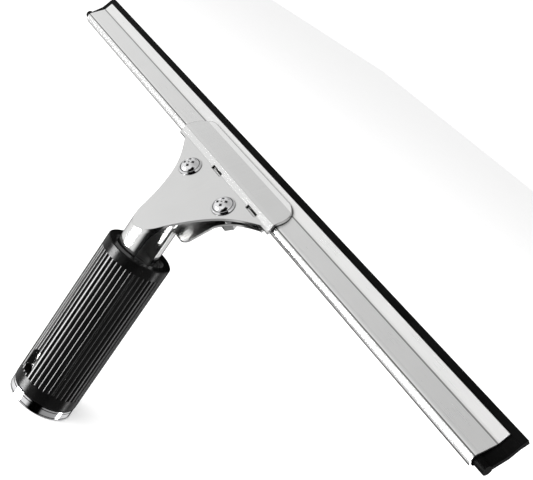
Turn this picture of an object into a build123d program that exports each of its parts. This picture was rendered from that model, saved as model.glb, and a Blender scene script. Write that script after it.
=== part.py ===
"""Window cleaning squeegee: stainless channel and rubber clamped in a two-plate head on a ribbed grip.

Millimetres.  The origin is the centre of the pole socket's mouth, +Z runs up the handle towards
the blade, +X runs along the blade, and the screws and the pole window face -Y.
The blade is drawn in a frame tilted back about X at the fold: (across, along, proud) = X, towards
the blade's edge, and out of the channel's face.  The fan plate and all that is clamped to it share
the same fold and lean back a little more.
"""
from build123d import *
from math import cos, radians, sin, tan
import os

# ---------------------------------------------------------------- driving dimensions
blade_length = 350.0          # steel channel, 14 inch
rubber_overhang = 5.0         # rubber proud of each end of the channel
sheet = 1.2                   # stamped head plates
channel_wall = 0.8            # folded channel sheet
head_tilt = radians(32.8)     # blade leans back from the handle
fan_tilt = radians(36.0)      # fan plate leans back from the handle
fold_y = 14.8                 # fold between fan plate and step
fold_rise = 45.6              # fold above the top of the handle

grip_radius = 15.7
tube_radius = 12.7
tube_wall = 1.4
socket_wall = 1.0             # tube is bored out for the pole tip
neck_grip = 25.4              # top of the handle down to the socket's inner end
end_ring_height = 4.8
bottom_collar_height = 6.5
sleeve_length = 69.0
top_collar_height = 5.1

fit = 0.05                    # fixed or turning fit, radial
slide_gap = 0.3               # formed sheet beside formed sheet

# ---------------------------------------------------------------- derived heights up the handle
sleeve_bottom = end_ring_height + bottom_collar_height
sleeve_top = sleeve_bottom + sleeve_length
handle_top = sleeve_top + top_collar_height
socket_depth = handle_top - neck_grip
fold_z = handle_top + fold_rise
bore_radius = tube_radius - tube_wall
socket_radius = tube_radius - socket_wall
shell_bore = tube_radius + fit            # bore of the pieces threaded over the tube

# ---------------------------------------------------------------- channel section, (along, proud)
bead_radius = 3.2             # rolled back edge
bead_along = 3.9
valley_along = 12.4           # crease between sloping face and front lip
valley_drop = 2.2
lip_along = 17.2
lip_drop = 1.2
throat = 2.0                  # gap that the rubber web fills
valley_round = 4.0
channel_depth = throat + 2 * channel_wall

# ---------------------------------------------------------------- rubber section
bulb_radius = 2.0
web = 1.7
blade_along = 20.5
blade_thickness = 2.0

# ---------------------------------------------------------------- head plates
step_along = 2.9              # run of the step from the fold to its crest
flange_half = 43.0
flange_front = 14.7
flange_corner = 9.0
fan_half = 39.0
plate_gap = 2 * bead_radius + slide_gap   # outer face of the fan to the inner face of the lower plate
jaw_half = 33.5
jaw_front = 15.2
tab_half = 17.5
tab_bottom = 30.0
tab_corner = 3.5
hook_centres = (-5.5, 27.5)
hook_width = 7.6
hook_thickness = 0.8
hook_top = 0.25               # tongues, towards the blade from the fold
hook_sink = 0.7               # their tips, below the fan plate's face
hook_slot_play = 0.2
slot_top = 0.8                # far edge of the slots, up the step

neck_radius = 10.9            # front neck shell, close inside the handle's bore
shell_rim_y = -7.1            # its rims inside the handle
neck_foot = 4.5               # neck shell's end above the plug's underside
rim_line = [                  # its rims above the handle: (y, rise)
    (shell_rim_y, 0.6),
    (shell_rim_y, 5.6),
    (-6.6, 10.9),
    (-5.1, 15.9),
]
rim_meet_y = -1.4             # where they run into the fan plate
leg_radius = 8.5              # back neck shell
leg_y = 0.4
leg_rim_y = 2.0
leg_reach = 4.9               # back neck shell, down inside the handle

# ---------------------------------------------------------------- fasteners
screw_across = 16.7
screw_down = 7.9              # screws below the fold
screw_radius = 2.0
screw_play = 0.2
head_radius = 4.3
head_height = 2.3
washer_radius = 5.3
washer_height = 0.6
washer_lip = 0.45             # rolled rim around the screw head
recess_length = 4.8
recess_width = 1.1
recess_depth = 1.3
nut_flats = 7.0
nut_height = 3.2
screw_tail = 0.8

plug_height = 18.0
pin_radius = 1.5
pin_above_plug_foot = 11.0
pin_inset = 0.1

# ---------------------------------------------------------------- grip details
rib_count = 38
groove_radius = 0.62
window_height = 12.0
window_width = 6.5
window_corner = 2.4
window_clear = 0.8            # window above the bottom collar
ring_radius = 15.5
ring_lip = 1.0
collar_lip = 1.5
collar_mouth = 12.1
collar_bevel = 0.4
collar_round = 1.0
ring_groove = 1.0             # turned line in from each edge of the end ring
ring_groove_width = 0.3
ring_groove_depth = 0.2
ring_round = 0.6

# ---------------------------------------------------------------- frames
proud = Vector(0, -cos(head_tilt), sin(head_tilt))
along = Vector(0, sin(head_tilt), cos(head_tilt))
fold = Vector(0, fold_y, fold_z)
face = Vector(0, -cos(fan_tilt), sin(fan_tilt))
up_fan = Vector(0, sin(fan_tilt), cos(fan_tilt))
HEAD = Plane(origin=fold, x_dir=(1, 0, 0), z_dir=proud)
FAN = Plane(origin=fold, x_dir=(1, 0, 0), z_dir=face)
SECTION = Plane(origin=fold, x_dir=along, z_dir=(1, 0, 0))
SIDE = Plane.YZ

os.makedirs("parts", exist_ok=True)


def fan_point(across, up, out):
    """A point given across, up and out of the fan plate, in the part's frame."""
    return fold + Vector(across, 0, 0) + up_fan * up + face * out


def fastener_plane(across, out):
    """Plane through a screw's axis: local x across, local y along the axis, towards the head."""
    return Plane(origin=fan_point(across, -screw_down, out), x_dir=(1, 0, 0), z_dir=-up_fan)


def finish(builder, label):
    """Label a finished piece and write it."""
    builder.part.label = label
    export_step(builder.part, f"parts/{label}.step")


def channel_line(drop):
    """Run of the channel's face, lowered by drop: crest of the bead, crease, lip."""
    return [
        (bead_along, -drop),
        (valley_along, -valley_drop - drop),
        (lip_along, -lip_drop - drop),
    ]


def underside(lift):
    """Run of the channel's underside, raised by lift: lip, crease, foot of the bead."""
    return [
        (lip_along, -lip_drop - channel_depth + lift),
        (valley_along, -valley_drop - channel_depth + lift),
        (bead_along, -2 * bead_radius + lift),
    ]


# ================================================================ shared cutters
plug_bottom = socket_depth
pin_height = plug_bottom + pin_above_plug_foot
window_bottom = sleeve_bottom + window_clear
window_middle = window_bottom + window_height / 2

with BuildPart() as pin_drill:
    with BuildSketch(Plane.XZ):
        with Locations((0, pin_height)):
            Circle(pin_radius + fit)
    extrude(amount=2 * grip_radius, both=True)

with BuildPart() as window_cutter:
    with BuildSketch(Plane.XZ):
        with Locations((0, window_middle)):
            RectangleRounded(window_width, window_height, window_corner)
    extrude(amount=2 * grip_radius)

# ================================================================ channel
with BuildPart() as channel:
    with BuildSketch(SECTION.offset(-blade_length / 2)):
        with BuildLine():
            Polyline(*channel_line(0), *underside(0), close=True)
        make_face()
        with Locations((bead_along, -bead_radius)):
            Circle(bead_radius)
        with BuildLine(mode=Mode.PRIVATE) as cavity_line:
            upper = channel_line(channel_wall)
            lower = underside(channel_wall)
            past_lip = (lip_along + channel_wall, upper[2][1])
            below_lip = (lip_along + channel_wall, lower[0][1])
            Polyline(*upper, past_lip, below_lip, *lower, close=True)
        make_face(cavity_line.edges(), mode=Mode.SUBTRACT)
        with Locations((bead_along, -bead_radius)):
            Circle(bead_radius - channel_wall, mode=Mode.SUBTRACT)
    extrude(amount=blade_length)
    creases = channel.edges().filter_by(Axis.X).filter_by(
        lambda e: abs(SECTION.to_local_coords(e.center()).X - valley_along) < 0.1
    )
    fillet(creases, valley_round)
finish(channel, "channel")

# ================================================================ squeegee rubber
web_mid = -(valley_drop + channel_depth / 2)
lip_mid = -(lip_drop + channel_depth / 2)
with BuildPart() as squeegee_rubber:
    rubber_length = blade_length + 2 * rubber_overhang
    with BuildSketch(SECTION.offset(-rubber_length / 2)):
        with Locations((bead_along + slide_gap / 2, -bead_radius)):
            Circle(bulb_radius)
        with BuildLine():
            Polyline(
                (bead_along, -bead_radius + web / 2),
                (valley_along, web_mid + web / 2),
                (lip_along + slide_gap, lip_mid + web / 2),
                (lip_along + slide_gap, lip_mid + blade_thickness / 2),
                (blade_along, lip_mid + blade_thickness / 2),
                (blade_along, lip_mid - blade_thickness / 2),
                (lip_along + slide_gap, lip_mid - blade_thickness / 2),
                (lip_along + slide_gap, lip_mid - web / 2),
                (valley_along, web_mid - web / 2),
                (bead_along, -bead_radius - web / 2),
                close=True,
            )
        make_face()
    extrude(amount=rubber_length)
finish(squeegee_rubber, "squeegee_rubber")

# ================================================================ upper plate
seat = slide_gap + sheet / 2              # sheet's mid line above the channel's face
lip_slope = (valley_drop - lip_drop) / (lip_along - valley_along)
flange_line = [
    (-sheet, -sheet / 2),
    (0.2, -sheet / 2),
    (step_along, seat + 0.15),
    (bead_along + 0.3, seat - 0.05),
    (valley_along, seat - valley_drop),
    (flange_front, seat - valley_drop + lip_slope * (flange_front - valley_along)),
]
fan_outline = [
    (fan_half, 0.0),
    (30.7, -5.3),
    (23.0, -11.9),
    (16.0, -21.4),
    (11.0, -30.8),
    (9.8, -33.5),
]
leg_bottom = handle_top - leg_reach
screw_spots = [(-screw_across, -screw_down), (screw_across, -screw_down)]
slot_length = hook_width + 2 * hook_slot_play
hook_middle = hook_top - hook_thickness / 2
slot_low = hook_top - hook_thickness - hook_slot_play

with BuildPart() as flange:
    with BuildSketch(SECTION.offset(-flange_half)):
        with BuildLine():
            Polyline(*flange_line)
        trace(line_width=sheet)
    extrude(amount=2 * flange_half)
    with BuildSketch(HEAD.offset(-2 * bead_radius)) as flange_plan:
        with Locations((0, (flange_front - 1) / 2)):
            Rectangle(2 * flange_half, flange_front + 1)
        fillet(flange_plan.vertices().sort_by(Axis.Y)[-2:], flange_corner)
    extrude(amount=4 * bead_radius, mode=Mode.INTERSECT)

rim_meet_z = fold_z + (rim_meet_y - fold_y) / tan(fan_tilt) - sheet / 2 / sin(fan_tilt)
rim_meet = Vector(rim_meet_y, rim_meet_z)
rim_beyond = rim_meet + Vector(sin(fan_tilt), cos(fan_tilt)) * 6 * neck_radius

with BuildPart() as neck_shell:
    with BuildSketch(Plane.XY.offset(plug_bottom + neck_foot)):
        Circle(neck_radius)
        Circle(neck_radius - sheet, mode=Mode.SUBTRACT)
    extrude(amount=fold_z - plug_bottom)
    with BuildSketch(FAN):
        Rectangle(6 * neck_radius, 8 * fan_half)
    extrude(amount=2 * fold_z, mode=Mode.SUBTRACT)
    with BuildSketch(SIDE.offset(-2 * neck_radius)):
        with BuildLine():
            rim = Spline(*[(y, handle_top + rise) for y, rise in rim_line], rim_meet)
            Polyline(rim @ 1, rim_beyond, (rim_beyond.X, 0), (shell_rim_y, 0), rim @ 0)
        make_face()
    extrude(amount=4 * neck_radius, mode=Mode.SUBTRACT)
    add(pin_drill.part, mode=Mode.SUBTRACT)

with BuildPart() as fan_foot:
    with BuildSketch(Plane.XY.offset(handle_top)):
        Circle(neck_radius)
    extrude(amount=fold_z - handle_top)
    with BuildSketch(FAN.offset(-sheet)):
        Rectangle(6 * neck_radius, 8 * fan_half)
    extrude(amount=sheet, mode=Mode.INTERSECT)

with BuildPart() as upper_plate:
    with BuildSketch(FAN.offset(-sheet)):
        with BuildLine():
            right = Spline(*fan_outline)
            left = Spline(*[(-x, y) for x, y in fan_outline])
            Line(left @ 0, right @ 0)
            Line(left @ 1, right @ 1)
        make_face()
    extrude(amount=sheet)
    add(fan_foot.part)
    add(flange.part)
    add(neck_shell.part)
    with BuildSketch(FAN):
        with Locations(*screw_spots):
            Circle(screw_radius + screw_play)
        with Locations(*[(x, (slot_low + slot_top) / 2) for x in hook_centres]):
            Rectangle(slot_length, slot_top - slot_low)
    extrude(amount=2 * bead_radius, both=True, mode=Mode.SUBTRACT)
finish(upper_plate, "upper_plate")

# ================================================================ lower plate
jaw_top = -plate_gap                      # inner face of the lower plate
jaw_seat = channel_depth + slide_gap + sheet / 2
jaw_line = [
    (-2 * sheet, jaw_top - sheet / 2),
    (bead_along, jaw_top - sheet / 2),
    (valley_along, -valley_drop - jaw_seat),
    (jaw_front, -valley_drop - jaw_seat + lip_slope * (jaw_front - valley_along)),
]
jaw_outline = [(jaw_half, 0.0), (26.0, -4.5), (20.5, -9.5), (tab_half, -15.0)]

with BuildPart() as jaw:
    with BuildSketch(SECTION.offset(-jaw_half)):
        with BuildLine():
            Polyline(*jaw_line)
        trace(line_width=sheet)
    extrude(amount=2 * jaw_half)
    with BuildSketch(HEAD.offset(-4 * bead_radius)) as jaw_plan:
        with Locations((0, (jaw_front - 1) / 2)):
            Rectangle(2 * jaw_half, jaw_front + 1)
        fillet(jaw_plan.vertices().sort_by(Axis.Y)[-2:], flange_corner / 2)
    extrude(amount=4 * bead_radius, mode=Mode.INTERSECT)

with BuildPart() as leg_shell:
    with BuildSketch(Plane.XY.offset(leg_bottom)):
        with Locations((0, leg_y)):
            Circle(leg_radius)
            Circle(leg_radius - sheet, mode=Mode.SUBTRACT)
    extrude(amount=fold_z - leg_bottom)
    with BuildSketch(FAN.offset(jaw_top)):
        Rectangle(8 * fan_half, 8 * fan_half)
    extrude(amount=2 * fold_z, mode=Mode.SUBTRACT)
    with BuildSketch(Plane.XY):
        with Locations((0, leg_rim_y - 2 * leg_radius)):
            Rectangle(4 * leg_radius, 4 * leg_radius)
    extrude(amount=2 * fold_z, mode=Mode.SUBTRACT)

with BuildPart() as dish:
    with BuildSketch(Plane.XY):
        with Locations((0, leg_y)):
            Circle(leg_radius - sheet)
    extrude(amount=2 * fold_z)

with BuildPart() as lower_plate:
    with BuildSketch(FAN.offset(jaw_top - sheet)):
        with BuildLine():
            right = Spline(*jaw_outline)
            left = Spline(*[(-x, y) for x, y in jaw_outline])
            Line(left @ 0, right @ 0)
            Polyline(right @ 1, (tab_half, -tab_bottom), (-tab_half, -tab_bottom), left @ 1)
        make_face()
    extrude(amount=sheet)
    tab_corners = lower_plate.edges().filter_by(Axis(fold, face)).sort_by(Axis.Z)[:2]
    fillet(tab_corners, tab_corner)
    with BuildSketch(FAN.offset(jaw_top - sheet)):
        with Locations((0, -tab_bottom - leg_radius / 2 + 1)):
            Rectangle(1.94 * leg_radius, leg_radius + 2)
    extrude(amount=sheet)
    add(dish.part, mode=Mode.SUBTRACT)
    with BuildSketch(Plane.XY):
        with Locations((0, leg_rim_y - 2 * leg_radius)):
            Rectangle(8 * leg_radius, 4 * leg_radius)
    extrude(amount=2 * fold_z, mode=Mode.SUBTRACT)
    add(leg_shell.part)
    add(jaw.part)
    with BuildSketch(FAN.offset(jaw_top - sheet)):
        with Locations(*[(x, hook_middle) for x in hook_centres]):
            Rectangle(hook_width, hook_thickness)
    extrude(amount=plate_gap + sheet - hook_sink)
    with BuildSketch(FAN):
        with Locations(*screw_spots):
            Circle(screw_radius + screw_play)
    extrude(amount=4 * bead_radius, both=True, mode=Mode.SUBTRACT)
finish(lower_plate, "lower_plate")

# ================================================================ clamp screws, washers, nuts
nut_bottom = jaw_top - sheet - nut_height
screw_end = nut_bottom - screw_tail


def clamp_screw(across, label):
    """Domed cross-recess screw, seated on its cup washer."""
    with BuildPart() as screw:
        with BuildSketch(fastener_plane(across, washer_height)):
            with BuildLine():
                Polyline(
                    (0, head_height),
                    (0, screw_end - washer_height),
                    (screw_radius - 0.4, screw_end - washer_height),
                    (screw_radius, screw_end - washer_height + 0.4),
                    (screw_radius, 0),
                    (head_radius, 0),
                    (head_radius, 0.2 * head_height),
                )
                ThreePointArc(
                    (head_radius, 0.2 * head_height),
                    (0.7 * head_radius, 0.78 * head_height),
                    (0, head_height),
                )
            make_face()
        revolve(axis=Axis(fan_point(across, -screw_down, 0), face))
        with BuildSketch(Plane(fan_point(across, -screw_down, washer_height + head_height),
                               x_dir=(1, 0, 0), z_dir=face)):
            Rectangle(recess_length, recess_width, rotation=45)
            Rectangle(recess_width, recess_length, rotation=45)
        extrude(amount=-recess_depth, mode=Mode.SUBTRACT)
    finish(screw, label)


clamp_screw(-screw_across, "clamp_screw_left")
clamp_screw(screw_across, "clamp_screw_right")

with BuildPart() as cup_washers:
    for across in (-screw_across, screw_across):
        with BuildSketch(fastener_plane(across, 0)):
            with BuildLine():
                Polyline(
                    (screw_radius + screw_play, 0),
                    (washer_radius, 0),
                    (washer_radius, 0.5 * washer_height),
                    (washer_radius - 0.5, washer_height + washer_lip),
                    (head_radius + 0.25, washer_height + washer_lip),
                    (head_radius + 0.15, washer_height),
                    (screw_radius + screw_play, washer_height),
                    close=True,
                )
            make_face()
        revolve(axis=Axis(fan_point(across, -screw_down, 0), face))
finish(cup_washers, "cup_washers")

with BuildPart() as clamp_nuts:
    with BuildSketch(FAN.offset(nut_bottom)):
        with Locations(*screw_spots):
            RegularPolygon(nut_flats / 2, 6, major_radius=False)
            Circle(screw_radius + fit, mode=Mode.SUBTRACT)
    extrude(amount=nut_height)
finish(clamp_nuts, "clamp_nuts")

# ================================================================ handle tube, plug and pin
tube_top = handle_top - collar_lip - fit
with BuildPart() as handle_tube:
    with BuildSketch(Plane.XY.offset(ring_lip)):
        Circle(tube_radius)
        Circle(bore_radius, mode=Mode.SUBTRACT)
    extrude(amount=tube_top - ring_lip)
    with BuildSketch(Plane.XY):
        Circle(socket_radius)
    extrude(amount=socket_depth, mode=Mode.SUBTRACT)
    add(window_cutter.part, mode=Mode.SUBTRACT)
    add(pin_drill.part, mode=Mode.SUBTRACT)
finish(handle_tube, "handle_tube")

with BuildPart() as neck_plug:
    with BuildSketch(Plane.XY.offset(plug_bottom)):
        Circle(bore_radius - fit)
    extrude(amount=plug_height)
    with BuildSketch(Plane.XY.offset(plug_bottom + neck_foot)):
        Circle(2 * neck_radius)
        Circle(neck_radius - sheet - fit, mode=Mode.SUBTRACT)
        with Locations((0, shell_rim_y + fit + 2 * neck_radius)):
            Rectangle(4 * neck_radius, 4 * neck_radius, mode=Mode.SUBTRACT)
    extrude(amount=plug_height, mode=Mode.SUBTRACT)
    add(pin_drill.part, mode=Mode.SUBTRACT)
finish(neck_plug, "neck_plug")

with BuildPart() as neck_pin:
    with BuildSketch(Plane.XZ):
        with Locations((0, pin_height)):
            Circle(pin_radius)
    extrude(amount=tube_radius - pin_inset, both=True)
finish(neck_pin, "neck_pin")

# ================================================================ grip
with BuildPart() as grip_sleeve:
    with BuildSketch(Plane.XY.offset(sleeve_bottom)):
        Circle(grip_radius)
        Circle(shell_bore, mode=Mode.SUBTRACT)
        with PolarLocations(grip_radius, rib_count):
            Circle(groove_radius, mode=Mode.SUBTRACT)
    extrude(amount=sleeve_length)
    add(window_cutter.part, mode=Mode.SUBTRACT)
finish(grip_sleeve, "grip_sleeve")

with BuildPart() as grip_collar_top:
    with BuildSketch(Plane.XY.offset(sleeve_top)):
        Circle(grip_radius)
        Circle(shell_bore, mode=Mode.SUBTRACT)
    extrude(amount=top_collar_height - collar_lip)
    with BuildSketch(Plane.XY.offset(handle_top - collar_lip)):
        Circle(grip_radius)
        Circle(collar_mouth, mode=Mode.SUBTRACT)
    extrude(amount=collar_lip)
    chamfer(grip_collar_top.edges().group_by(Axis.Z)[-1].sort_by(SortBy.RADIUS)[-1], collar_bevel)
finish(grip_collar_top, "grip_collar_top")

with BuildPart() as grip_collar_bottom:
    with BuildSketch(Plane.XY.offset(end_ring_height)):
        Circle(grip_radius)
        Circle(shell_bore, mode=Mode.SUBTRACT)
    extrude(amount=bottom_collar_height)
    fillet(grip_collar_bottom.edges().group_by(Axis.Z)[0].sort_by(SortBy.RADIUS)[-1], collar_round)
finish(grip_collar_bottom, "grip_collar_bottom")

with BuildPart() as end_ring:
    with BuildSketch(Plane.XY):
        Circle(ring_radius)
        Circle(socket_radius, mode=Mode.SUBTRACT)
    extrude(amount=ring_lip)
    with BuildSketch(Plane.XY.offset(ring_lip)):
        Circle(ring_radius)
        Circle(shell_bore, mode=Mode.SUBTRACT)
    extrude(amount=end_ring_height - ring_lip)
    for groove_height in (ring_groove, end_ring_height - ring_groove):
        with BuildSketch(Plane.XY.offset(groove_height - ring_groove_width / 2)):
            Circle(ring_radius)
            Circle(ring_radius - ring_groove_depth, mode=Mode.SUBTRACT)
        extrude(amount=ring_groove_width, mode=Mode.SUBTRACT)
    fillet(end_ring.edges().group_by(Axis.Z)[0].sort_by(SortBy.RADIUS)[-1], ring_round)
finish(end_ring, "end_ring")
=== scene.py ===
"""Looks of a window cleaning squeegee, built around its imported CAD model. Metres, in the CAD frame:
the origin is the mouth of the pole socket, +Z runs up the grip and +X along the blade.
"""
from math import cos, pi, radians, sin

import bmesh
import bpy
from bpy.props import FloatProperty, FloatVectorProperty, IntProperty, PointerProperty
from bpy.types import Operator, Panel, PropertyGroup
from mathutils import Matrix, Vector


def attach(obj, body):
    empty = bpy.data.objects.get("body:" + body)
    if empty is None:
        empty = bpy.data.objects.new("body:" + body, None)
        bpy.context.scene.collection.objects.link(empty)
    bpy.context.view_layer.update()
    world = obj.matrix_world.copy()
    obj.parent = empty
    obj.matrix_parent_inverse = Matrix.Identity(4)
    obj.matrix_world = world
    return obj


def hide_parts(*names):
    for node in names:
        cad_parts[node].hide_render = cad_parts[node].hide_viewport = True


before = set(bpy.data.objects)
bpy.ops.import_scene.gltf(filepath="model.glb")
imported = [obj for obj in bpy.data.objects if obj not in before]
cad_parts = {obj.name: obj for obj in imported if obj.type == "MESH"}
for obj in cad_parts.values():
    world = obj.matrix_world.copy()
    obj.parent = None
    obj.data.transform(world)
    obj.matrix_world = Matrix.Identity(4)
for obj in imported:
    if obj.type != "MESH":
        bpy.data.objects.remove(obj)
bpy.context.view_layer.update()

bl_info = {
    "name": "Window Squeegee",
    "version": (1, 0, 0),
    "blender": (4, 5, 0),
    "location": "View3D > Sidebar > Squeegee",
    "description": "Finishes a window squeegee: channel, rubber, clamp head, screws and ribbed grip",
    "category": "Object",
}

MM = 0.001


# ------------------------------------------------------------------ settings
class SteelSettings(PropertyGroup):
    """Colours and surface of the steel pieces."""

    channel_colour: FloatVectorProperty(
        name="Channel Steel", description="Colour of the folded channel",
        subtype="COLOR", size=3, min=0.0, max=1.0, default=(0.90, 0.90, 0.893),
    )
    plate_colour: FloatVectorProperty(
        name="Plate Steel", description="Colour of the two stamped plates",
        subtype="COLOR", size=3, min=0.0, max=1.0, default=(0.84, 0.84, 0.835),
    )
    bright_colour: FloatVectorProperty(
        name="Bright Steel", description="Colour of the screws, cups and end ring",
        subtype="COLOR", size=3, min=0.0, max=1.0, default=(0.88, 0.88, 0.89),
    )
    channel_roughness: FloatProperty(
        name="Channel Roughness", description="How soft the channel's reflections are",
        subtype="FACTOR", min=0.0, max=1.0, default=0.30,
    )
    plate_roughness: FloatProperty(
        name="Plate Roughness", description="How soft the plates' reflections are",
        subtype="FACTOR", min=0.0, max=1.0, default=0.16,
    )


class BlackSettings(PropertyGroup):
    """Colours and surface of the rubber and the grip."""

    rubber_colour: FloatVectorProperty(
        name="Blade Rubber", description="Colour of the blade's rubber",
        subtype="COLOR", size=3, min=0.0, max=1.0, default=(0.001, 0.001, 0.001),
    )
    grip_colour: FloatVectorProperty(
        name="Grip", description="Colour of the ribbed sleeve",
        subtype="COLOR", size=3, min=0.0, max=1.0, default=(0.002, 0.002, 0.002),
    )
    ribs: IntProperty(
        name="Ribs", description="Number of ribs around the sleeve", min=12, max=80, default=38,
    )
    rib_depth: FloatProperty(
        name="Rib Depth", description="How far the seams between ribs lie below their crests",
        unit="LENGTH", min=0.0001, max=0.0015, default=0.00062,
    )
    grip_roughness: FloatProperty(
        name="Grip Roughness", description="How soft the grip's reflections are",
        subtype="FACTOR", min=0.0, max=1.0, default=0.16,
    )


class StageSettings(PropertyGroup):
    """Camera and lights."""

    lens: FloatProperty(
        name="Lens", description="Focal length of the camera on a 36 mm sensor",
        unit="CAMERA", min=10.0, max=300.0, default=67.54,
    )
    softbox_power: FloatProperty(
        name="Softbox Power", description="Strength of the large overhead softbox",
        unit="POWER", min=0.0, max=200.0, default=16.0,
    )
    world_strength: FloatProperty(
        name="World Strength", description="Brightness of the white surroundings",
        min=0.0, max=10.0, default=1.04,
    )
    strip_strength: FloatProperty(
        name="Strip Strength", description="Brightness of the strip lights in reflections",
        min=0.0, max=400.0, default=75.0,
    )


# ------------------------------------------------------------------ nodes
def new_material(name):
    """Empty node material with a Principled shader, ready for its pattern."""
    material = bpy.data.materials.new(name)
    material.use_nodes = True
    return material, material.node_tree, material.node_tree.nodes["Principled BSDF"]


def math_node(tree, operation, *values):
    """Math node fed with sockets or plain numbers."""
    node = tree.nodes.new("ShaderNodeMath")
    node.operation = operation
    for socket, value in zip(node.inputs, values):
        if isinstance(value, (int, float)):
            socket.default_value = value
        else:
            tree.links.new(value, socket)
    return node.outputs["Value"]


def spread(tree, source, start, end, low=0.0, high=1.0):
    """Number that goes from low to high while the source goes from start to end."""
    node = tree.nodes.new("ShaderNodeMapRange")
    for name, value in (("From Min", start), ("From Max", end), ("To Min", low), ("To Max", high)):
        node.inputs[name].default_value = value
    tree.links.new(source, node.inputs["Value"])
    return node.outputs["Result"]


def colour_ramp(tree, source, stops):
    """Colour that passes through these (place from 0 to 1, colour) stops."""
    node = tree.nodes.new("ShaderNodeValToRGB")
    elements = node.color_ramp.elements
    elements[0].position, elements[1].position = stops[0][0], stops[-1][0]
    for place, _ in stops[1:-1]:
        elements.new(place)
    for element, (_, colour) in zip(elements, stops):
        element.color = (*colour, 1.0)
    tree.links.new(source, node.inputs["Fac"])
    return node.outputs["Color"]


def grey_ramp(tree, source, stops):
    """Grey that passes through these (place from 0 to 1, brightness) stops."""
    return colour_ramp(tree, source, [(place, (level, level, level)) for place, level in stops])


def darkened(tree, colour, share):
    """Colour multiplied by a share from 0 to 1."""
    node = tree.nodes.new("ShaderNodeMixRGB")
    node.blend_type = "MULTIPLY"
    node.inputs["Fac"].default_value = 1.0
    tree.links.new(colour, node.inputs["Color1"])
    tree.links.new(share, node.inputs["Color2"])
    return node.outputs["Color"]


# ------------------------------------------------------------------ patterns
EVEN = (1.0, 1.0, 1.0)             # stretch of a pattern that runs no particular way
NOISE_LOW, NOISE_HIGH = 0.3, 0.7   # between these lies nearly all of the noise
DRIFT_SCALE = 60.0                 # slow drift of the steel's sheen, patches to a metre
CLOUD_SCALE = 80.0                 # uneven tone of rubber and plastic, patches to a metre
SLOW_DETAIL = 2.0
LINE_DETAIL = 4.0
PEBBLE_DETAIL = 5.0
SHADE_SAMPLES = 6
# The crevice settings below shape painted shade in folds, slots and recesses; the edge settings shape a
# painted dark reflection along edges.
CREVICE_OPEN = (0.35, 0.85)        # shares of open sky that read as closed and as open
CREVICE_LEFT = 0.06                # share of the colour left where a crevice is closed
EDGE_TURN = (0.86, 0.985)          # cosines of the turn that read as on an edge and as off it
EDGE_LEFT = 0.10
EDGE_WIDTH = 0.4 * MM
CREVICE_REACH = 1.2 * MM
RECESS_REACH = 3.0 * MM            # for the screws, whose recesses are deeper than the sheet's folds


def noise_between(tree, source, low, high):
    """Number that goes from low to high with the noise."""
    return spread(tree, source, NOISE_LOW, NOISE_HIGH, low, high)


def tint(tree, source, dark, light):
    """Colour that goes from dark to light with the noise."""
    return colour_ramp(tree, source, [(NOISE_LOW, dark), (NOISE_HIGH, light)])


def object_grain(tree, stretch, scale, detail):
    """Noise in the object's own space, finer along an axis the more it is stretched."""
    place = tree.nodes.new("ShaderNodeTexCoord")
    turn = tree.nodes.new("ShaderNodeMapping")
    turn.inputs["Scale"].default_value = stretch
    noise = tree.nodes.new("ShaderNodeTexNoise")
    noise.inputs["Scale"].default_value = scale
    noise.inputs["Detail"].default_value = detail
    tree.links.new(place.outputs["Object"], turn.inputs["Vector"])
    tree.links.new(turn.outputs["Vector"], noise.inputs["Vector"])
    return noise.outputs["Fac"]


def bump(tree, shader, source, height):
    """Relief of that height in metres."""
    relief = tree.nodes.new("ShaderNodeBump")
    relief.inputs["Distance"].default_value = height
    relief.inputs["Strength"].default_value = 1.0
    tree.links.new(source, relief.inputs["Height"])
    tree.links.new(relief.outputs["Normal"], shader.inputs["Normal"])


def painted_crevice_shade(tree, colour, reach):
    """Colour with painted shade in folds, slots and recesses: darker where little open sky is near."""
    near = tree.nodes.new("ShaderNodeAmbientOcclusion")
    near.samples = SHADE_SAMPLES
    near.inputs["Distance"].default_value = reach
    return darkened(tree, colour, spread(tree, near.outputs["AO"], *CREVICE_OPEN, low=CREVICE_LEFT))


def painted_edge_shade(tree, colour):
    """Colour with a painted dark reflection and painted shade along rounded and cut edges."""
    rounded = tree.nodes.new("ShaderNodeBevel")
    rounded.samples = SHADE_SAMPLES
    rounded.inputs["Radius"].default_value = EDGE_WIDTH
    surface = tree.nodes.new("ShaderNodeNewGeometry")
    same = tree.nodes.new("ShaderNodeVectorMath")
    same.operation = "DOT_PRODUCT"
    tree.links.new(rounded.outputs["Normal"], same.inputs[0])
    tree.links.new(surface.outputs["Normal"], same.inputs[1])
    return darkened(tree, colour, spread(tree, same.outputs["Value"], *EDGE_TURN, low=EDGE_LEFT))


def crease_shade(tree, colour, creases):
    """Colour with painted shade in lines across ALONG: (distance from the fold, half width, share left)."""
    place = tree.nodes.new("ShaderNodeTexCoord")
    height = tree.nodes.new("ShaderNodeVectorMath")
    height.operation = "DOT_PRODUCT"
    height.inputs[1].default_value = ALONG
    tree.links.new(place.outputs["Object"], height.inputs[0])
    for distance, half_width, left in creases:
        off = math_node(tree, "SUBTRACT", height.outputs["Value"], FOLD.dot(ALONG) + distance)
        off = math_node(tree, "ABSOLUTE", off)
        colour = darkened(tree, colour, spread(tree, off, half_width / 2, half_width, low=left))
    return colour


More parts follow.
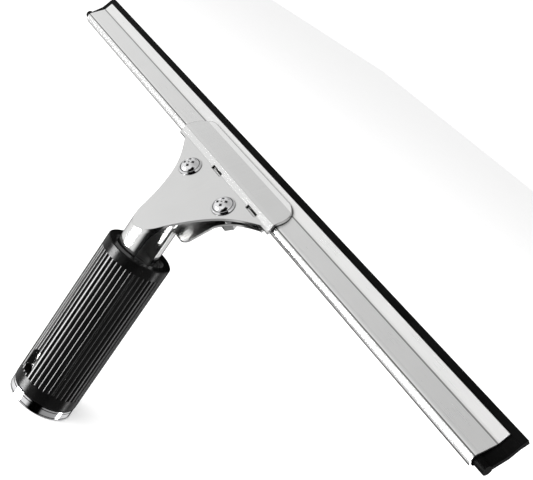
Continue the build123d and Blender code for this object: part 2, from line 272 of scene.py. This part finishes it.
# ------------------------------------------------------------------ materials
def steel(name, colour, roughness, stretch, scale, height, drift=0.04, reach=CREVICE_REACH, creases=()):
    """Stainless steel: fine brushed lines and a slow drift of sheen, with painted shade in folds, slots and
    recesses and a painted dark reflection along edges.
    """
    material, tree, shader = new_material(name)
    shader.inputs["Metallic"].default_value = 1.0
    lines = object_grain(tree, stretch, scale, LINE_DETAIL)
    slow = math_node(tree, "MULTIPLY", object_grain(tree, EVEN, DRIFT_SCALE, SLOW_DETAIL), 0.5)
    both = math_node(tree, "MULTIPLY_ADD", lines, 0.5, slow)
    dark = [channel * 0.95 for channel in colour]
    # Brushed tone at random, then painted shade in folds and recesses and a painted dark reflection along
    # edges.
    grain_and_painted_shade = painted_edge_shade(tree, painted_crevice_shade(tree, tint(tree, both, dark, colour), reach))
    tree.links.new(crease_shade(tree, grain_and_painted_shade, creases), shader.inputs["Base Color"])
    rough = noise_between(tree, both, max(0.0, roughness - drift), roughness + drift)
    tree.links.new(rough, shader.inputs["Roughness"])
    bump(tree, shader, lines, height)
    return material


def black(name, colour, roughness, scale, height, gloss):
    """Moulded rubber or plastic: a fine pebble and slightly uneven gloss."""
    material, tree, shader = new_material(name)
    grain = object_grain(tree, EVEN, scale, PEBBLE_DETAIL)
    cloud = object_grain(tree, EVEN, CLOUD_SCALE, SLOW_DETAIL)
    light = [channel * 1.6 + 0.001 for channel in colour]
    tree.links.new(tint(tree, cloud, colour, light), shader.inputs["Base Color"])
    rough = noise_between(tree, grain, roughness - 0.05, roughness + 0.07)
    tree.links.new(rough, shader.inputs["Roughness"])
    shader.inputs["Specular IOR Level"].default_value = gloss
    bump(tree, shader, grain, height)
    return material


def paint(node, material):
    """Gives a CAD node one material over all its faces."""
    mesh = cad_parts[node].data
    mesh.materials.clear()
    mesh.materials.append(material)


def soften(node, width):
    """Rounds a CAD node's sharp edges, as stamping, moulding or tumbling leaves them."""
    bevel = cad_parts[node].modifiers.new("edge_round", "BEVEL")
    bevel.width = width
    bevel.segments = 3
    bevel.limit_method = "ANGLE"
    bevel.angle_limit = radians(30.0)
    bevel.harden_normals = False
    bevel.use_clamp_overlap = True


# ------------------------------------------------------------------ pieces
BLADE_TILT = radians(32.8)
ALONG = Vector((0.0, sin(BLADE_TILT), cos(BLADE_TILT)))
FOLD = Vector((0.0, 14.8, 131.0)) * MM
# Painted shade lines where the channel's hem meets its face, and in the valley before its lip: (distance
# from the fold, half width, share of the colour left).
CHANNEL_CREASES = ((3.4 * MM, 0.35 * MM, 0.15), (12.2 * MM, 0.4 * MM, 0.35))


class SQUEEGEE_OT_channel(Operator):
    """Finish the folded channel"""

    bl_idname = "squeegee.channel"
    bl_label = "Channel"

    def execute(self, context):
        looks = context.scene.squeegee_steel
        paint("channel", steel(
            "channel_steel", looks.channel_colour, looks.channel_roughness,
            stretch=(1.0, 40.0, 40.0), scale=90.0, height=0.004 * MM, creases=CHANNEL_CREASES,
        ))
        soften("channel", 0.12 * MM)
        return {"FINISHED"}


class SQUEEGEE_OT_rubber(Operator):
    """Finish the blade's rubber"""

    bl_idname = "squeegee.rubber"
    bl_label = "Rubber"

    def execute(self, context):
        looks = context.scene.squeegee_black
        paint("squeegee_rubber", black(
            "blade_rubber", looks.rubber_colour, roughness=0.5, scale=1800.0, height=0.004 * MM, gloss=0.03,
        ))
        return {"FINISHED"}


class SQUEEGEE_OT_plates(Operator):
    """Finish the two stamped plates of the head"""

    bl_idname = "squeegee.plates"
    bl_label = "Head Plates"

    def execute(self, context):
        looks = context.scene.squeegee_steel
        polished = steel(
            "plate_steel", looks.plate_colour, looks.plate_roughness,
            stretch=(30.0, 1.0, 1.0), scale=70.0, height=0.002 * MM,
        )
        for node in ("upper_plate", "lower_plate"):
            paint(node, polished)
            soften(node, 0.25 * MM)
        return {"FINISHED"}


class SQUEEGEE_OT_fasteners(Operator):
    """Finish the screws, cups, nuts and pin"""

    bl_idname = "squeegee.fasteners"
    bl_label = "Fasteners"

    def execute(self, context):
        looks = context.scene.squeegee_steel
        bright = steel(
            "bright_steel", looks.bright_colour, roughness=0.08,
            stretch=EVEN, scale=400.0, height=0.001 * MM, drift=0.02, reach=RECESS_REACH,
        )
        plain = steel(
            "plain_steel", (0.6, 0.6, 0.6), roughness=0.3, stretch=EVEN, scale=500.0, height=0.004 * MM,
        )
        for node in ("clamp_screw_left", "clamp_screw_right", "cup_washers"):
            paint(node, bright)
            soften(node, 0.12 * MM)
        for node in ("clamp_nuts", "neck_pin"):
            paint(node, plain)
        return {"FINISHED"}


class SQUEEGEE_OT_handle(Operator):
    """Finish the tube, plug and end ring"""

    bl_idname = "squeegee.handle"
    bl_label = "Handle Tube"

    def execute(self, context):
        looks = context.scene.squeegee_steel
        paint("handle_tube", steel(
            "tube_steel", looks.plate_colour, roughness=0.14,
            stretch=(1.0, 1.0, 30.0), scale=120.0, height=0.002 * MM,
        ))
        paint("end_ring", steel(
            "ring_steel", looks.bright_colour, roughness=0.10,
            stretch=(1.0, 1.0, 40.0), scale=150.0, height=0.002 * MM,
        ))
        paint("neck_plug", black(
            "plug_plastic", (0.03, 0.03, 0.03), roughness=0.5, scale=900.0, height=0.01 * MM, gloss=0.5,
        ))
        return {"FINISHED"}


SLEEVE_RADIUS = 15.7 * MM
SLEEVE_BORE = 12.75 * MM
SLEEVE_BOTTOM = 11.3 * MM
SLEEVE_TOP = 80.3 * MM
RIB_POINTS = 12                    # around each rib
WINDOW_WIDTH = 6.5 * MM
WINDOW_BOTTOM = 12.1 * MM
WINDOW_TOP = 24.1 * MM
WINDOW_CORNER = 2.4 * MM
CORNER_POINTS = 8
SEAM_ANGLE = radians(35.0)         # sharper turns between faces are creases


def linked_object(name, data):
    """Object of that mesh, lamp or camera, in the scene."""
    piece = bpy.data.objects.new(name, data)
    bpy.context.scene.collection.objects.link(piece)
    return piece


def mesh_object(name, shape):
    """Object of a finished bmesh, in the scene."""
    mesh = bpy.data.meshes.new(name)
    shape.to_mesh(mesh)
    shape.free()
    return linked_object(name, mesh)


def extruded(name, outline, way):
    """Closed prism from an outline of points and the way it is drawn out."""
    shape = bmesh.new()
    near = [shape.verts.new(point) for point in outline]
    far = [shape.verts.new(point + way) for point in outline]
    shape.faces.new(near)
    shape.faces.new(far)
    for i, start in enumerate(near):
        j = (i + 1) % len(near)
        shape.faces.new((start, near[j], far[j], far[i]))
    bmesh.ops.recalc_face_normals(shape, faces=shape.faces)
    return mesh_object(name, shape)


def window_outline():
    """Rounded window in the sleeve, drawn on its front."""
    half = WINDOW_WIDTH / 2 - WINDOW_CORNER
    low, high = WINDOW_BOTTOM + WINDOW_CORNER, WINDOW_TOP - WINDOW_CORNER
    outline = []
    for quarter, (x, z) in enumerate(((half, high), (-half, high), (-half, low), (half, low))):
        for step in range(CORNER_POINTS + 1):
            turn = (quarter + step / CORNER_POINTS) * pi / 2
            outline.append(Vector((x + WINDOW_CORNER * cos(turn), -2 * SLEEVE_RADIUS,
                                   z + WINDOW_CORNER * sin(turn))))
    return outline


def around(radius, turn, height):
    """Point at that radius and height, turned from the front towards +X."""
    return Vector((radius * sin(turn), -radius * cos(turn), height))


def ribbed_tube(ribs, depth):
    """Sleeve with rounded ribs along it and a plain bore."""
    count = ribs * RIB_POINTS
    turns = [2 * pi * step / count for step in range(count)]
    across = [abs(2 * ((step / RIB_POINTS) % 1.0) - 1) for step in range(count)]
    ribbed = [SLEEVE_RADIUS - depth * share ** 3 for share in across]
    plain = [SLEEVE_BORE] * count
    shape = bmesh.new()
    rings = [
        [shape.verts.new(around(radius, turn, height)) for radius, turn in zip(radii, turns)]
        for radii, height in ((ribbed, SLEEVE_BOTTOM), (ribbed, SLEEVE_TOP),
                              (plain, SLEEVE_TOP), (plain, SLEEVE_BOTTOM))
    ]
    for i, ring in enumerate(rings):
        after = rings[(i + 1) % len(rings)]
        for j in range(count):
            k = (j + 1) % count
            shape.faces.new((ring[j], ring[k], after[k], after[j]))
    bmesh.ops.recalc_face_normals(shape, faces=shape.faces)
    return mesh_object("grip_sleeve_ribbed", shape)


def ribbed_sleeve(ribs, depth):
    """Ribbed sleeve with the pole lock's window cut through its front."""
    sleeve = ribbed_tube(ribs, depth)
    cutter = extruded("window_cutter", window_outline(), Vector((0.0, 1.9 * SLEEVE_RADIUS, 0.0)))
    cut = sleeve.modifiers.new("window", "BOOLEAN")
    cut.operation = "DIFFERENCE"
    cut.object = cutter
    depsgraph = bpy.context.evaluated_depsgraph_get()
    finished = bpy.data.meshes.new_from_object(sleeve.evaluated_get(depsgraph))
    sleeve.modifiers.clear()
    sleeve.data = finished
    bpy.data.objects.remove(cutter)
    finished.shade_smooth()
    finished.set_sharp_from_angle(angle=SEAM_ANGLE)
    return sleeve


class SQUEEGEE_OT_grip(Operator):
    """Finish the ribbed sleeve and its collars"""

    bl_idname = "squeegee.grip"
    bl_label = "Grip"

    def execute(self, context):
        looks = context.scene.squeegee_black
        sleeve = ribbed_sleeve(looks.ribs, looks.rib_depth)
        sleeve.data.materials.append(black(
            "grip_rubber", looks.grip_colour, looks.grip_roughness,
            scale=1500.0, height=0.002 * MM, gloss=0.20,
        ))
        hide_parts("grip_sleeve")
        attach(sleeve, "handle")
        shiny = black(
            "collar_plastic", looks.grip_colour, roughness=0.20, scale=1200.0, height=0.001 * MM, gloss=0.10,
        )
        for node in ("grip_collar_top", "grip_collar_bottom"):
            paint(node, shiny)
            soften(node, 0.3 * MM)
        return {"FINISHED"}


# ------------------------------------------------------------------ stage
CAMERA_PLACE = Vector((323.466, -260.646, 228.494)) * MM
CAMERA_RIGHT = Vector((0.46793622, 0.67969258, 0.56484838))
CAMERA_DOWN = Vector((0.55351617, 0.27285097, -0.78687496))
SENSOR_WIDTH = 36.0                # millimetres, as the camera counts it
NEAR_CLIP = 0.01
FLOOR_HALF = 3.0
FLOOR_DARK = (0.975, 0.975, 0.975)
FLOOR_LIGHT = (0.985, 0.985, 0.985)
FLOOR_ROUGHNESS = 0.6
SPECKLE_SCALE = 30.0
SOFTBOX_SIZE = 0.9
SOFTBOX_PLACE = Vector((-0.1, -0.5, 1.1))
SOFTBOX_AIM = Vector((0.0, 0.0, 0.08))

# What shiny pieces mirror low down: (turn in degrees from -Y towards +X, brightness).
LOW_SURROUND = (
    (-180, 0.75),
    (-162, 0.70),
    (-157, 0.0),
    (-116, 0.0),
    (-108, 0.35),
    (-88, 0.75),
    (-66, 0.95),
    (20, 0.85),
    (34, 0.0),
    (74, 0.0),
    (82, 0.30),
    (135, 0.38),
    (170, 0.75),
)
# Bright strips below the horizon, one on the left and a faint one behind: (turn, share of their strength).
STRIPS = ((-38, 0.0), (-32, 0.6), (-16, 1.0), (-4, 0.0), (138, 0.0), (144, 0.12), (150, 0.12), (156, 0.0))
# How far down they reach: (sine of the elevation, share).
STRIP_SPAN = ((-0.56, 0.0), (-0.51, 1.0), (-0.30, 1.0), (-0.22, 0.0))
# What shiny pieces mirror higher up: (sine of the elevation, brightness).
HIGH_SURROUND = ((0.10, 0.95), (0.32, 0.92), (0.50, 0.80), (0.70, 0.68), (0.95, 0.50))
# Dark stands in front of it: (turn, brightness), and the sines of the elevations where they end.
STANDS = ((-164, 1.0), (-158, 0.0), (-114, 0.0), (-106, 1.0), (32, 1.0), (38, 0.0), (72, 0.0), (80, 1.0))
STANDS_TOP = (0.62, 0.74)
# Sines of the elevations between which the low surround gives way to the high one.
LOW_TO_HIGH = (0.02, 0.16)


def background(tree, colour=None, strength=None):
    """World background shader fed with sockets."""
    node = tree.nodes.new("ShaderNodeBackground")
    if colour is not None:
        tree.links.new(colour, node.inputs["Color"])
    if strength is not None:
        tree.links.new(strength, node.inputs["Strength"])
    return node.outputs["Background"]


def mirrored_room(tree, strip_strength):
    """Shader of what shiny pieces mirror: dark stands and bright strips in a pale room."""
    way = tree.nodes.new("ShaderNodeTexCoord")
    split = tree.nodes.new("ShaderNodeSeparateXYZ")
    tree.links.new(way.outputs["Generated"], split.inputs["Vector"])
    height = split.outputs["Z"]
    front = math_node(tree, "MULTIPLY", split.outputs["Y"], -1.0)
    turn = math_node(tree, "ARCTAN2", split.outputs["X"], front)
    turn = math_node(tree, "MULTIPLY_ADD", turn, 0.5 / pi, 0.5)

    def by_turn(stops):
        """Grey that follows the turn in degrees."""
        return grey_ramp(tree, turn, [(degrees / 360 + 0.5, level) for degrees, level in stops])

    over = spread(tree, height, *STANDS_TOP)
    shade = math_node(tree, "MAXIMUM", by_turn(STANDS), over)
    high = math_node(tree, "MULTIPLY", grey_ramp(tree, height, HIGH_SURROUND), shade)
    room = tree.nodes.new("ShaderNodeMixRGB")
    tree.links.new(spread(tree, height, *LOW_TO_HIGH), room.inputs["Fac"])
    tree.links.new(by_turn(LOW_SURROUND), room.inputs["Color1"])
    tree.links.new(high, room.inputs["Color2"])

    raised = math_node(tree, "MULTIPLY_ADD", height, 0.5, 0.5)
    span = grey_ramp(tree, raised, [(sine / 2 + 0.5, level) for sine, level in STRIP_SPAN])
    strips = math_node(tree, "MULTIPLY", by_turn(STRIPS), span)
    strips = math_node(tree, "MULTIPLY", strips, strip_strength)
    both = tree.nodes.new("ShaderNodeAddShader")
    tree.links.new(background(tree, colour=room.outputs["Color"]), both.inputs[0])
    tree.links.new(background(tree, strength=strips), both.inputs[1])
    return both.outputs["Shader"]


def white_room(strength, strip_strength):
    """Plain white surroundings, with stands and strips that show only in what shiny pieces mirror."""
    world = bpy.data.worlds.new("white_room")
    world.use_nodes = True
    tree = world.node_tree
    plain = tree.nodes["Background"]
    plain.inputs["Color"].default_value = (1.0, 1.0, 1.0, 1.0)
    plain.inputs["Strength"].default_value = strength
    ray = tree.nodes.new("ShaderNodeLightPath")
    choose = tree.nodes.new("ShaderNodeMixShader")
    tree.links.new(ray.outputs["Is Glossy Ray"], choose.inputs["Fac"])
    tree.links.new(plain.outputs["Background"], choose.inputs[1])
    tree.links.new(mirrored_room(tree, strip_strength), choose.inputs[2])
    tree.links.new(choose.outputs["Shader"], tree.nodes["World Output"].inputs["Surface"])
    return world


def pale_floor():
    """Plain floor under the squeegee, which its shiny pieces don't mirror."""
    shape = bmesh.new()
    bmesh.ops.create_grid(shape, x_segments=1, y_segments=1, size=FLOOR_HALF)
    floor = mesh_object("floor", shape)
    pale, tree, shader = new_material("pale_floor")
    speckle = object_grain(tree, EVEN, SPECKLE_SCALE, SLOW_DETAIL)
    tree.links.new(tint(tree, speckle, FLOOR_DARK, FLOOR_LIGHT), shader.inputs["Base Color"])
    shader.inputs["Roughness"].default_value = FLOOR_ROUGHNESS
    floor.data.materials.append(pale)
    floor.visible_glossy = False


def softbox(power):
    """Large soft lamp overhead."""
    light = bpy.data.lights.new("softbox", "AREA")
    light.shape = "RECTANGLE"
    light.size = SOFTBOX_SIZE
    light.size_y = SOFTBOX_SIZE
    light.energy = power
    lamp = linked_object("softbox", light)
    lamp.location = SOFTBOX_PLACE
    lamp.rotation_euler = (SOFTBOX_AIM - SOFTBOX_PLACE).to_track_quat("-Z", "Y").to_euler()
    lamp.visible_glossy = False


def placed_camera(lens):
    """Camera at its solved place, with the picture's right and down given as directions."""
    data = bpy.data.cameras.new("camera")
    data.sensor_fit = "HORIZONTAL"
    data.sensor_width = SENSOR_WIDTH
    data.lens = lens
    data.clip_start = NEAR_CLIP
    camera = linked_object("camera", data)
    up = -CAMERA_DOWN.normalized()
    right = CAMERA_RIGHT.normalized()
    place = Matrix((right, up, right.cross(up))).transposed().to_4x4()
    place.translation = CAMERA_PLACE
    camera.matrix_world = place
    return camera


class SQUEEGEE_OT_stage(Operator):
    """Add the floor, the white surroundings, the lights and the camera"""

    bl_idname = "squeegee.stage"
    bl_label = "Stage"

    def execute(self, context):
        looks = context.scene.squeegee_stage
        context.scene.view_settings.view_transform = "Standard"
        context.scene.world = white_room(looks.world_strength, looks.strip_strength)
        pale_floor()
        softbox(looks.softbox_power)
        context.scene.camera = placed_camera(looks.lens)
        return {"FINISHED"}


# ------------------------------------------------------------------ panel
OPERATORS = (
    SQUEEGEE_OT_stage,
    SQUEEGEE_OT_channel,
    SQUEEGEE_OT_rubber,
    SQUEEGEE_OT_plates,
    SQUEEGEE_OT_fasteners,
    SQUEEGEE_OT_handle,
    SQUEEGEE_OT_grip,
)


class SQUEEGEE_PT_panel(Panel):
    """Settings and pieces of the squeegee"""

    bl_idname = "SQUEEGEE_PT_panel"
    bl_label = "Window Squeegee"
    bl_space_type = "VIEW_3D"
    bl_region_type = "UI"
    bl_category = "Squeegee"

    def draw(self, context):
        for group in GROUPS:
            settings = getattr(context.scene, group)
            box = self.layout.box()
            for name in settings.__annotations__:
                box.prop(settings, name)
        for operator in OPERATORS:
            self.layout.operator(operator.bl_idname)


GROUPS = {"squeegee_steel": SteelSettings, "squeegee_black": BlackSettings, "squeegee_stage": StageSettings}


def register():
    """Adds the settings, the operators and the panel."""
    for name, group in GROUPS.items():
        bpy.utils.register_class(group)
        setattr(bpy.types.Scene, name, PointerProperty(type=group))
    for cls in (*OPERATORS, SQUEEGEE_PT_panel):
        bpy.utils.register_class(cls)


def unregister():
    """Takes them away again."""
    for cls in reversed((*OPERATORS, SQUEEGEE_PT_panel)):
        bpy.utils.unregister_class(cls)
    for name, group in GROUPS.items():
        delattr(bpy.types.Scene, name)
        bpy.utils.unregister_class(group)


def main():
    """Builds every piece in order."""
    register()
    for operator in OPERATORS:
        family, name = operator.bl_idname.split(".")
        getattr(getattr(bpy.ops, family), name)()


if __name__ == "__main__":
    main()
